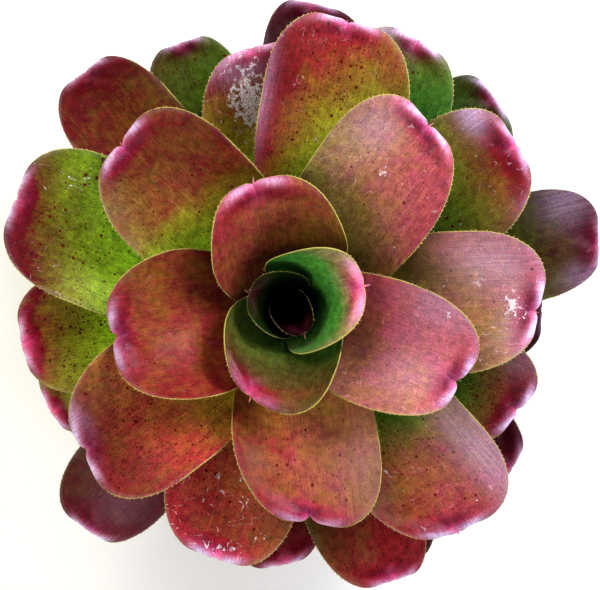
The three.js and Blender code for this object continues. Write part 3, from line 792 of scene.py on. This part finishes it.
def grow_leaf(order, settings, colours, material):
    """One leaf: its shell, the teeth of its margins and its end spine, in one mesh."""
    leaf = leaf_of(order)
    rng = np.random.default_rng(700 + order)
    u = net_rows(leaf)[:, None]
    t = net_columns()[None, :]
    at = leaf_surface(leaf, u, t)
    points, faces, around, upward, normal = blade_shell(at, u, t)
    values = {key: around(value) for key, value in pigments(leaf, at, colours).items()}
    own_place = np.full(len(points), BETWEEN_LEAVES * order)
    values["blade_mm"] = np.stack([around(at.across), around(at.along), own_place], axis=-1)
    values["margin_mm"] = around(at.margin)
    values["upward"] = upward
    values["horny"] = np.zeros(len(points))

    spacing, length = settings.tooth_spacing / MM, settings.tooth_length / MM
    spines = [teeth(*margin_line(at, side), spacing, length, rng) for side in (-1, 1)]
    spines = np.concatenate(spines)
    first = len(points)
    corner = first + 5 * np.arange(len(spines))[:, None]
    flanks = np.array([[0, 1, 4], [1, 2, 4], [2, 3, 4], [3, 0, 4]])
    faces += (corner[:, :, None] + flanks).reshape(-1, 3).tolist()
    faces += (corner + np.array([3, 2, 1, 0])).tolist()
    # the end spines of the older leaves are worn down
    unworn = 1 - POINT_WEAR * smoothstep(order, 8, 16)
    point = end_spine(at, normal, unworn * settings.spine_length / MM, rng)
    faces += tube_faces(SPINE_ROWS, SPINE_SIDES, first + 5 * len(spines))

    # the spines have the colours of the leaf at its pinched point, and turn to horn
    rows, columns = at.points.shape[:2]
    pinched = (rows - 1) * (2 * columns + 2) + columns // 2
    extra = 5 * len(spines) + point[..., 0].size
    for key, value in values.items():
        more = np.broadcast_to(value[pinched], (extra, *value.shape[1:]))
        values[key] = np.concatenate([value, more])
    values["margin_mm"][first:] = OFF_MARGIN
    values["horny"][first : first + 5 * len(spines)] = 1
    tapering = np.repeat(np.linspace(0, 1, SPINE_ROWS), SPINE_SIDES)
    values["horny"][first + 5 * len(spines) :] = 0.5 * tapering**2
    points = np.concatenate([points, spines.reshape(-1, 3), point.reshape(-1, 3)])
    made = make_object(f"{leaf.name}_lamina", points, faces, values, material)
    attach(made, "root")
    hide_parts(leaf.name)
    return made


# ---------- materials ----------

MIX_COLOURS = {"data_type": "RGBA", "clamp_factor": True}
MULTIPLY_COLOURS = {"data_type": "RGBA", "blend_type": "MULTIPLY"}
DARKEN_COLOURS = {"data_type": "RGBA", "blend_type": "DARKEN"}
SMOOTH = {"interpolation_type": "SMOOTHSTEP"}


def add(tree, kind, inputs=(), output=0, **settings):
    """One output of a new node of that kind. Inputs are by number or name: a socket is linked and
    anything else becomes the input's value. Settings are the node's own values by name."""
    node = tree.nodes.new(f"ShaderNode{kind}")
    for key, value in settings.items():
        setattr(node, key, value)
    for key, value in inputs.items() if isinstance(inputs, dict) else enumerate(inputs):
        if isinstance(value, bpy.types.NodeSocket):
            tree.links.new(value, node.inputs[key])
        else:
            node.inputs[key].default_value = value
    return node.outputs[output] if node.outputs else None


def rgba(colour):
    """A linear colour with its alpha, for a socket."""
    return (*colour, 1)


def spots(tree, place, cell, radius, chance):
    """Round spots, one at most in each cell of that many millimetres: a share of the cells equal
    to the chance has one, from 0.4 of the given radius up to all of it."""
    vector = add(tree, "VectorMath", (place, (1 / cell,) * 3), operation="MULTIPLY")
    own = add(tree, "TexVoronoi", {"Vector": vector, "Scale": 1.0}, "Color")
    away = own.node.outputs["Distance"]
    own.node.voronoi_dimensions = "2D"
    pick = add(tree, "SeparateColor", (own,), 0)
    size = pick.node.outputs[1]
    full = radius / cell
    reach = add(tree, "Math", (size, 0.6 * full, 0.4 * full), operation="MULTIPLY_ADD")
    inside = add(tree, "Math", (reach, away), operation="SUBTRACT")
    inside = add(tree, "MapRange", (inside, 0.0, 0.35 * full, 0.0, 1.0), **SMOOTH)
    chosen = add(tree, "Math", (pick, chance), operation="LESS_THAN")
    return add(tree, "Math", (inside, chosen), operation="MULTIPLY")


def new_material(name):
    """An empty node material and its Principled shader."""
    material = bpy.data.materials.new(name)
    material.use_nodes = True
    tree = material.node_tree
    tree.nodes.clear()
    surface = add(tree, "BsdfPrincipled")
    add(tree, "OutputMaterial", (surface,))
    return material, tree, surface.node


def leaf_cuticle(colours):
    """Bromeliad leaf skin: a waxy cuticle over green flesh with a red flush.

    The eye gets a satin surface with faint lengthwise veins, cloudy and mottled colour, dark
    freckles, lavender bloom with a painted sheen, pale scurf with scratches and a thin
    yellow-green margin. The rolled ends are grainy and shine, and the underside is duller, with
    silver scales.
    The colours it reads already hold painted shade.
    """
    material, tree, shader = new_material("Bromeliad leaf, waxy cuticle")
    place = add(tree, "Attribute", (), "Vector", attribute_name="blade_mm")
    flesh = add(tree, "Attribute", (), "Color", attribute_name="flesh")
    flush = add(tree, "Attribute", (), "Color", attribute_name="flush")
    amount = {name: add(tree, "Attribute", (), "Fac", attribute_name=name) for name in AMOUNTS}
    # lengthwise patterns are drawn out along the leaf: 25 times for veins, 3 times for dashes
    drawn = add(tree, "VectorMath", (place, (1, 0.04, 1)), operation="MULTIPLY")
    longer = add(tree, "VectorMath", (place, (1, 0.35, 1)), operation="MULTIPLY")

    # the flush breaks up in clouds of 16 mm, in dashes of 2.4 mm and in streaks of 1.4 mm
    inputs = {"Vector": place, "Scale": 1 / 16, "Detail": 4.0, "Roughness": 0.6, "Distortion": 0.8}
    clouds = add(tree, "TexNoise", inputs)
    mottle = add(tree, "TexNoise", {"Vector": longer, "Scale": 1 / 2.4, "Detail": 4.0})
    streaks = add(tree, "TexNoise", {"Vector": drawn, "Scale": 1 / 1.4, "Detail": 2.0})
    flushed = amount["flushed"]
    for pattern, strength in ((clouds, 0.55), (mottle, 0.25), (streaks, 0.15)):
        varied = (pattern, strength, -0.5 * strength)
        varied = add(tree, "Math", varied, operation="MULTIPLY_ADD")
        flushed = add(tree, "Math", (flushed, varied), operation="ADD")
    skin = add(tree, "Mix", {0: flushed, 6: flesh, 7: flush}, 2, **MIX_COLOURS)

    # warmer and cooler clouds
    warmth = add(tree, "MapRange", (clouds, 0.35, 0.65, 0.0, 1.0), **SMOOTH)
    inputs = {0: warmth, 6: (1.04, 0.97, 0.88, 1), 7: (0.97, 0.98, 1.12, 1)}
    tint = add(tree, "Mix", inputs, 2, **MIX_COLOURS)
    skin = add(tree, "Mix", {0: 1.0, 6: skin, 7: tint}, 2, **MULTIPLY_COLOURS)

    # darker and lighter patches of 5 mm, veins 0.8 mm apart and a grain of 0.9 mm
    patches = add(tree, "TexNoise", {"Vector": place, "Scale": 1 / 5, "Detail": 5.0})
    veins = add(tree, "TexNoise", {"Vector": drawn, "Scale": 1 / 0.8, "Detail": 1.0})
    grain = add(tree, "TexNoise", {"Vector": place, "Scale": 1 / 0.9, "Detail": 2.0})
    for pattern, dark, light in ((patches, 0.8, 1.18), (veins, 0.86, 1.1), (grain, 0.78, 1.18)):
        shade = add(tree, "MapRange", (pattern, 0.3, 0.7, dark, light), **SMOOTH)
        skin = add(tree, "Mix", {0: 1.0, 6: skin, 7: shade}, 2, **MULTIPLY_COLOURS)

    # under the wax all of it looks a little duller and darker
    skin = add(tree, "HueSaturation", {"Saturation": 0.97, "Value": 0.92, "Color": skin})

    # freckles up to 0.9, 1.6 and 3 mm wide, in groups of 16 mm, which only ever darken the skin
    groups = add(tree, "TexNoise", {"Vector": place, "Scale": 1 / 16, "Detail": 2.0})
    groups = add(tree, "MapRange", (groups, 0.35, 0.65, 0.25, 1.0), **SMOOTH)
    gathered = add(tree, "Math", (amount["freckled"], groups), operation="MULTIPLY")
    chance = add(tree, "Math", (gathered, 0.55), operation="MULTIPLY")
    for cell, radius in ((1.6, 0.45), (2.9, 0.8), (7, 1.5)):
        freckles = spots(tree, place, cell, radius, chance)
        freckles = add(tree, "Math", (freckles, 0.88), operation="MULTIPLY")
        inputs = {0: freckles, 6: skin, 7: rgba(colours.freckle)}
        skin = add(tree, "Mix", inputs, 2, **DARKEN_COLOURS)

    # silver scales lie on the underside alone, in cross bands 4 mm apart
    under = add(tree, "Math", (1.0, amount["upward"]), operation="SUBTRACT")
    crossed = add(tree, "VectorMath", (place, (0.12, 1, 1)), operation="MULTIPLY")
    inputs = {"Vector": crossed, "Scale": 1 / 4, "Detail": 3.0, "Distortion": 0.5}
    bands = add(tree, "TexNoise", inputs)
    bands = add(tree, "MapRange", (bands, 0.4, 0.65, 0.12, 0.4), **SMOOTH)
    bands = add(tree, "Math", (bands, under), operation="MULTIPLY")

    # bloom and its painted sheen lie in streaks, and on the tops of the grain
    film = add(tree, "Math", (grain, streaks), operation="ADD")
    film = add(tree, "MapRange", (film, 0.8, 1.2, 0.65, 1.15), **SMOOTH)
    bloom_and_sheen = add(tree, "Math", (amount["bloom_and_sheen_cover"], film), operation="MULTIPLY")

    # scurf: ragged flakes of 1 to 4 mm, worn thin between the tops of the grain
    inputs = {"Vector": place, "Scale": 1 / 3.5, "Detail": 7.0, "Roughness": 0.65}
    flakes = add(tree, "TexNoise", inputs)
    edge = add(tree, "Math", (amount["scurfy"], -0.32, 0.86), operation="MULTIPLY_ADD")
    scurf = add(tree, "Math", (flakes, edge), operation="SUBTRACT")
    scurf = add(tree, "MapRange", (scurf, 0.0, 0.08, 0.0, 0.85), **SMOOTH)
    worn = add(tree, "MapRange", (grain, 0.4, 0.6, 0.35, 1.0), **SMOOTH)
    scurf = add(tree, "Math", (scurf, worn), operation="MULTIPLY")

    # scratches: where a slow noise is near its middle value there is a line, broken by the dashes
    inputs = {"Vector": place, "Scale": 1 / 22, "Detail": 1.5, "Distortion": 1.5}
    lines = add(tree, "TexNoise", inputs)
    lines = add(tree, "Math", (lines, 0.5), operation="SUBTRACT")
    lines = add(tree, "Math", (lines,), operation="ABSOLUTE")
    lines = add(tree, "MapRange", (lines, 0.0, 0.009, 1.0, 0.0), **SMOOTH)
    broken = add(tree, "MapRange", (mottle, 0.5, 0.6, 0.0, 0.95), **SMOOTH)
    for part in (broken, amount["scratched"]):
        lines = add(tree, "Math", (lines, part), operation="MULTIPLY")
    scurf = add(tree, "Math", (scurf, lines), operation="MAXIMUM")

    # the margin is a thin line, broken here and there, and fainter on a dark leaf and under
    # painted shade
    line = add(tree, "Math", (mottle, 1.2, -0.35), operation="MULTIPLY_ADD")
    line = add(tree, "Math", (amount["margin_mm"], line), operation="ADD")
    line = add(tree, "MapRange", (line, 0.35, 0.8, 0.9, 0.0), **SMOOTH)
    line = add(tree, "Math", (line, amount["lit"]), operation="MULTIPLY")

    # the bloom layer paints a lavender sheen as well as waxy bloom
    layers = (
        (bands, colours.scale),
        (bloom_and_sheen, colours.bloom_and_sheen),
        (scurf, colours.scurf),
        (line, colours.margin),
        (amount["horny"], colours.horn),
    )
    for cover, colour in layers:
        skin = add(tree, "Mix", {0: cover, 6: skin, 7: rgba(colour)}, 2, **MIX_COLOURS)

    # veins are glossier and duller by turns, rolled ends shine, and the bloom with its painted
    # sheen and the scurf are dull
    rough = add(tree, "MapRange", (veins, 0.3, 0.7, 0.34, 0.5))
    for cover, change in ((amount["grainy"], -0.04), (bloom_and_sheen, 0.15), (scurf, 0.4), (under, 0.2)):
        rough = add(tree, "Math", (cover, change, rough), operation="MULTIPLY_ADD")

    # the relief: each pattern and its height in millimetres. The grain is raised on rolled ends
    raised = add(tree, "Math", (grain, amount["grainy"]), operation="MULTIPLY")
    relief = ((veins, 0.03), (patches, 0.4), (clouds, 1.2), (scurf, 0.1), (raised, 0.7))
    height = 0.0
    for pattern, high in relief:
        height = add(tree, "Math", (pattern, high * MM, height), operation="MULTIPLY_ADD")
    bump = add(tree, "Bump", {"Strength": 0.5, "Distance": 1.0, "Height": height})

    # the rolled ends shine most, and a dark leaf deep in the cup hardly does
    gloss = add(tree, "Math", (amount["grainy"], 0.24, 0.17), operation="MULTIPLY_ADD")
    gloss = add(tree, "Math", (gloss, amount["lit"]), operation="MULTIPLY")
    tree.links.new(skin, shader.inputs["Base Color"])
    tree.links.new(rough, shader.inputs["Roughness"])
    tree.links.new(bump, shader.inputs["Normal"])
    tree.links.new(gloss, shader.inputs["Specular IOR Level"])
    shader.inputs["IOR"].default_value = 1.45
    return material


def cut_stem(colours):
    """Bromeliad stem: fibrous brown rind, with a paler cut face where the fibres show as dots."""
    material, tree, shader = new_material("Bromeliad stem, fibrous rind")
    place = add(tree, "TexCoord", (), "Object")
    place = add(tree, "VectorMath", {0: place, "Scale": 1 / MM}, operation="SCALE")
    upright = add(tree, "VectorMath", (place, (1, 1, 0.07)), operation="MULTIPLY")
    fibres = add(tree, "TexNoise", {"Vector": upright, "Scale": 1 / 0.8, "Detail": 4.0})
    grain = add(tree, "MapRange", (fibres, 0.3, 0.7, 0.0, 1.0), **SMOOTH)
    inputs = {0: grain, 6: rgba(colours.rind_dark), 7: rgba(colours.rind)}
    rind = add(tree, "Mix", inputs, 2, **MIX_COLOURS)
    blotches = add(tree, "TexNoise", {"Vector": place, "Scale": 1 / 7, "Detail": 3.0})
    blotches = add(tree, "MapRange", (blotches, 0.3, 0.7, 0.75, 1.12), **SMOOTH)
    ends = spots(tree, place, 1.6, 0.5, 0.8)
    inputs = {0: ends, 6: rgba(colours.pith), 7: rgba(colours.rind_dark)}
    pith = add(tree, "Mix", inputs, 2, **MIX_COLOURS)
    facing = add(tree, "NewGeometry", (), "Normal")
    down = add(tree, "SeparateXYZ", (facing,), "Z")
    down = add(tree, "MapRange", (down, -0.7, -0.95, 0.0, 1.0), **SMOOTH)
    skin = add(tree, "Mix", {0: down, 6: rind, 7: pith}, 2, **MIX_COLOURS)
    skin = add(tree, "Mix", {0: 1.0, 6: skin, 7: blotches}, 2, **MULTIPLY_COLOURS)
    height = add(tree, "Math", (fibres, 0.5 * MM), operation="MULTIPLY")
    bump = add(tree, "Bump", {"Strength": 0.7, "Distance": 1.0, "Height": height})
    tree.links.new(skin, shader.inputs["Base Color"])
    tree.links.new(bump, shader.inputs["Normal"])
    shader.inputs["Roughness"].default_value = 0.85
    return material


def paper_sweep(colour):
    """Matt white background paper, with a faint tooth."""
    material, tree, shader = new_material("Studio paper, matt white")
    place = add(tree, "TexCoord", (), "Object")
    tooth = add(tree, "TexNoise", {"Vector": place, "Scale": 0.7 / MM})
    tooth = add(tree, "MapRange", (tooth, 0.3, 0.7, 0.99, 1.0), **SMOOTH)
    paper = add(tree, "Mix", {0: 1.0, 6: rgba(colour), 7: tooth}, 2, **MULTIPLY_COLOURS)
    tree.links.new(paper, shader.inputs["Base Color"])
    shader.inputs["Roughness"].default_value = 0.9
    shader.inputs["Specular IOR Level"].default_value = 0.1
    return material


# ---------- stem and studio ----------

AXIS_GAP = 0.3  # radius of the stem's first and last ring, in millimetres

def stem_surface(turns, rise):
    """The stem as rings of points: a cut face, a chamfer, the side and the dome.

    The profile is carried round the axis. Low ridges run up the side where old sheaths were, and
    rings a few millimetres apart mark where they joined.
    """
    face = np.linspace(AXIS_GAP, STEM_RADIUS - STEM_CHAMFER, FACE_ROWS)
    side = np.linspace(STEM_CHAMFER, STEM_SHOULDER, rise)
    dome = np.linspace(0, math.pi / 2, rise)[1:-1]
    radius = (face, np.full(rise, STEM_RADIUS), STEM_RADIUS * np.cos(dome), [AXIS_GAP])
    crown = STEM_SHOULDER + STEM_DOME
    height = (np.zeros(FACE_ROWS), side, STEM_SHOULDER + STEM_DOME * np.sin(dome), [crown])
    radius, height = np.concatenate(radius)[:, None], np.concatenate(height)[:, None]
    angle = np.linspace(0, 2 * math.pi, turns, endpoint=False)[None, :]
    sided = smoothstep(height, 0.2, 3) * smoothstep(radius, 4, 15)
    rough = 0.35 * np.sin(9 * angle + 0.3 * height) + 0.25 * np.sin(23 * angle - 0.2 * height)
    rings = 0.4 * np.abs(np.sin(height * math.pi / 5 + 0.5 * np.sin(2 * angle)))
    radius = radius - sided * (0.5 + rough * 0.6 + rings - 0.4)
    shape = (radius * np.cos(angle), radius * np.sin(angle), height + 0 * angle)
    return np.stack(shape, axis=-1)


# The softboxes stand in a ring, so that none is mirrored by a level leaf: for each, its azimuth
# and its tilt from overhead in degrees, its width in metres, its share of the power and its tint.
BOX_DISTANCE = 1.4  # m
SOFTBOXES = (
    (40, 54, 0.7, 0.46, "#f6f3ff"),
    (120, 48, 0.8, 0.2, "#fff9f0"),
    (205, 48, 0.8, 0.17, "#fff9f0"),
    (295, 48, 0.8, 0.17, "#f4f6ff"),
)
FLOOR_HALF = 2000  # mm
CAMERA_ASIDE = (7.5 * MM, 7.0 * MM)  # m from the axis, to the right and up in the picture
SENSOR_WIDTH = 36  # mm
PICTURE_PIXELS = 600  # the width of the picture that the lens is worked out for
FOCAL_PIXELS = 1323  # and the focal length in it


def length_property(name, description, default, least=0.0):
    """A length that the user can change, in metres."""
    return bpy.props.FloatProperty(
        name=name, description=description, default=default, min=least, unit="LENGTH"
    )


class BromeliadLeaves(bpy.types.PropertyGroup):
    """Sizes of the parts of a leaf that are finer than the solids."""

    tooth_spacing: length_property(
        "Tooth spacing", "From one tooth of a leaf's margin to the next", 0.0034, 0.001
    )
    tooth_length: length_property("Tooth length", "How far the margin's teeth stand out", 0.0012)
    spine_length: length_property(
        "End spine", "Length of the stiff point in the notch of each leaf", 0.0065
    )


def colour_property(name, description, default):
    """A colour that the user can change. Its value is linear."""
    return bpy.props.FloatVectorProperty(
        name=name,
        description=description,
        subtype="COLOR",
        size=3,
        min=0.0,
        max=1.0,
        default=tuple(linear(default)),
    )


class BromeliadColours(bpy.types.PropertyGroup):
    """Pigments of the plant."""

    flesh_deep: colour_property("Deep green", "Flesh of the youngest leaves", "#2a4a0c")
    flesh_green: colour_property("Green", "Flesh of most leaves", "#4e8a3c")
    flesh_lime: colour_property("Lime green", "Flesh of leaves grown in full light", "#8cb826")
    flush_rose: colour_property("Rose", "Flush of the young leaves", "#bf6a76")
    flush_brick: colour_property("Brick red", "Flush of the middle leaves", "#96342f")
    flush_maroon: colour_property("Maroon", "Flush of the older leaves", "#74141f")
    flush_purple: colour_property("Purple", "Flush of the oldest leaves", "#4c0a14")
    crimson: colour_property("Crimson", "Band behind the rolled end of a leaf", "#940a40")
    tip: colour_property("Pink", "Pinched point of a leaf", "#cc4c86")
    freckle: colour_property("Freckles", "Dark freckles of the skin", "#60180f")
    # waxy bloom, and the painted sheen on shoulders and margins
    bloom_and_sheen: colour_property("Bloom", "Waxy bloom on shoulders and margins", "#dccbe8")
    scurf: colour_property("Scurf", "Flaking scales and scratches", "#f2f4f8")
    scale: colour_property("Silver scales", "Cross bands of the underside", "#9a9a8c")
    margin: colour_property("Margin", "The line along a leaf's margin", "#b4ad60")
    horn: colour_property("Horn", "Teeth and the tips of spines", "#c9b98a")
    rind: colour_property("Rind", "Side of the stem", "#6d5335")
    rind_dark: colour_property("Dark fibres", "Old fibres of the stem", "#3a2a1a")
    pith: colour_property("Pith", "Cut face of the stem", "#a68f62")


class BromeliadStudio(bpy.types.PropertyGroup):
    """Floor and light."""

    paper: colour_property("Paper", "Colour of the floor", "#f7f7f5")
    sky: bpy.props.FloatProperty(
        name="Sky", description="Strength of the light from all round", default=0.12, min=0.0
    )
    power: bpy.props.FloatProperty(
        name="Softboxes",
        description="Power of all the softboxes together",
        default=38.0,
        min=0.0,
        unit="POWER",
    )
    camera_height: length_property(
        "Camera height", "Height of the camera above the floor", 1.0, 0.3
    )


class BROMELIAD_OT_studio(bpy.types.Operator):
    """Lay the paper, light it softly from all round and look straight down"""

    bl_idname = "bromeliad.studio"
    bl_label = "Set up the studio"

    def execute(self, context):
        settings = context.scene.bromeliad_studio
        signs = ((-1, -1), (1, -1), (1, 1), (-1, 1))
        corners = [(FLOOR_HALF * x, FLOOR_HALF * y, 0) for x, y in signs]
        floor = make_object("paper", corners, [(0, 1, 2, 3)], {}, paper_sweep(settings.paper))
        floor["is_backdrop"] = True

        world = bpy.data.worlds.new("Soft sky")
        world.use_nodes = True
        background = world.node_tree.nodes["Background"]
        background.inputs["Color"].default_value = (0.9, 0.95, 1.0, 1)
        background.inputs["Strength"].default_value = settings.sky
        context.scene.world = world

        for number, (azimuth, tilt, width, share, tint) in enumerate(SOFTBOXES):
            light = bpy.data.lights.new(f"softbox_{number}", "AREA")
            light.shape = "SQUARE"
            light.size = width
            light.energy = share * settings.power
            light.color = tuple(linear(tint))
            lamp = bpy.data.objects.new(light.name, light)
            ground = polar(azimuth * DEGREE, BOX_DISTANCE * math.sin(tilt * DEGREE))
            lamp.location = (*ground, BOX_DISTANCE * math.cos(tilt * DEGREE))
            lamp.rotation_euler = (0, tilt * DEGREE, azimuth * DEGREE)
            context.scene.collection.objects.link(lamp)

        camera = bpy.data.cameras.new("camera")
        camera.sensor_width = SENSOR_WIDTH
        camera.lens = SENSOR_WIDTH * FOCAL_PIXELS / PICTURE_PIXELS
        camera.clip_end = 10
        eye = bpy.data.objects.new("camera", camera)
        eye.location = (*CAMERA_ASIDE, settings.camera_height)
        context.scene.collection.objects.link(eye)
        context.scene.camera = eye
        context.scene.view_settings.view_transform = "Standard"
        context.scene.view_settings.look = "High Contrast"
        return {"FINISHED"}


class BROMELIAD_OT_stem(bpy.types.Operator):
    """Make the short stem with its cut face"""

    bl_idname = "bromeliad.stem"
    bl_label = "Make the stem"

    def execute(self, context):
        rings = stem_surface(STEM_SIDES, STEM_ROWS)
        rows, turns = rings.shape[:2]
        faces = tube_faces(rows, turns, 0)
        made = make_object(
            "stem_rind", rings.reshape(-1, 3), faces, {}, cut_stem(context.scene.bromeliad_colours)
        )
        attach(made, "root")
        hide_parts("stem")
        return {"FINISHED"}


class BROMELIAD_OT_leaves(bpy.types.Operator):
    """Grow the leaves of the rosette from the youngest to the oldest"""

    bl_idname = "bromeliad.leaves"
    bl_label = "Grow the leaves"

    def execute(self, context):
        colours = context.scene.bromeliad_colours
        skin = leaf_cuticle(colours)
        for order in range(len(LEAVES)):
            grow_leaf(order, context.scene.bromeliad_leaves, colours, skin)
        return {"FINISHED"}


class BROMELIAD_PT_panel(bpy.types.Panel):
    """The bromeliad's sizes, colours and steps"""

    bl_label = "Bromeliad"
    bl_idname = "BROMELIAD_PT_panel"
    bl_space_type = "VIEW_3D"
    bl_region_type = "UI"
    bl_category = "Bromeliad"

    def draw(self, context):
        scene = context.scene
        for group in (scene.bromeliad_leaves, scene.bromeliad_colours, scene.bromeliad_studio):
            box = self.layout.box()
            for name in group.__annotations__:
                box.prop(group, name)
        for operator in OPERATORS:
            self.layout.operator(operator.bl_idname)


OPERATORS = (BROMELIAD_OT_studio, BROMELIAD_OT_stem, BROMELIAD_OT_leaves)
GROUPS = (BromeliadLeaves, BromeliadColours, BromeliadStudio)
PROPERTIES = ("bromeliad_leaves", "bromeliad_colours", "bromeliad_studio")


def register():
    """Make the groups, the steps and the panel known."""
    for made in (*GROUPS, *OPERATORS, BROMELIAD_PT_panel):
        bpy.utils.register_class(made)
    for name, group in zip(PROPERTIES, GROUPS):
        setattr(bpy.types.Scene, name, bpy.props.PointerProperty(type=group))


def unregister():
    """Forget them again."""
    for name in PROPERTIES:
        delattr(bpy.types.Scene, name)
    for made in reversed((*GROUPS, *OPERATORS, BROMELIAD_PT_panel)):
        bpy.utils.unregister_class(made)


def main():
    """Set up the studio, make the plant and work out how large it is."""
    register()
    bpy.ops.bromeliad.studio()
    bpy.ops.bromeliad.stem()
    bpy.ops.bromeliad.leaves()
    boxes = {"cad": CAD_BOX, "visual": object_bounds()}
    {key: [list(map(float, c)) for c in box] for key, box in boxes.items()}


if __name__ == "__main__":
    main()
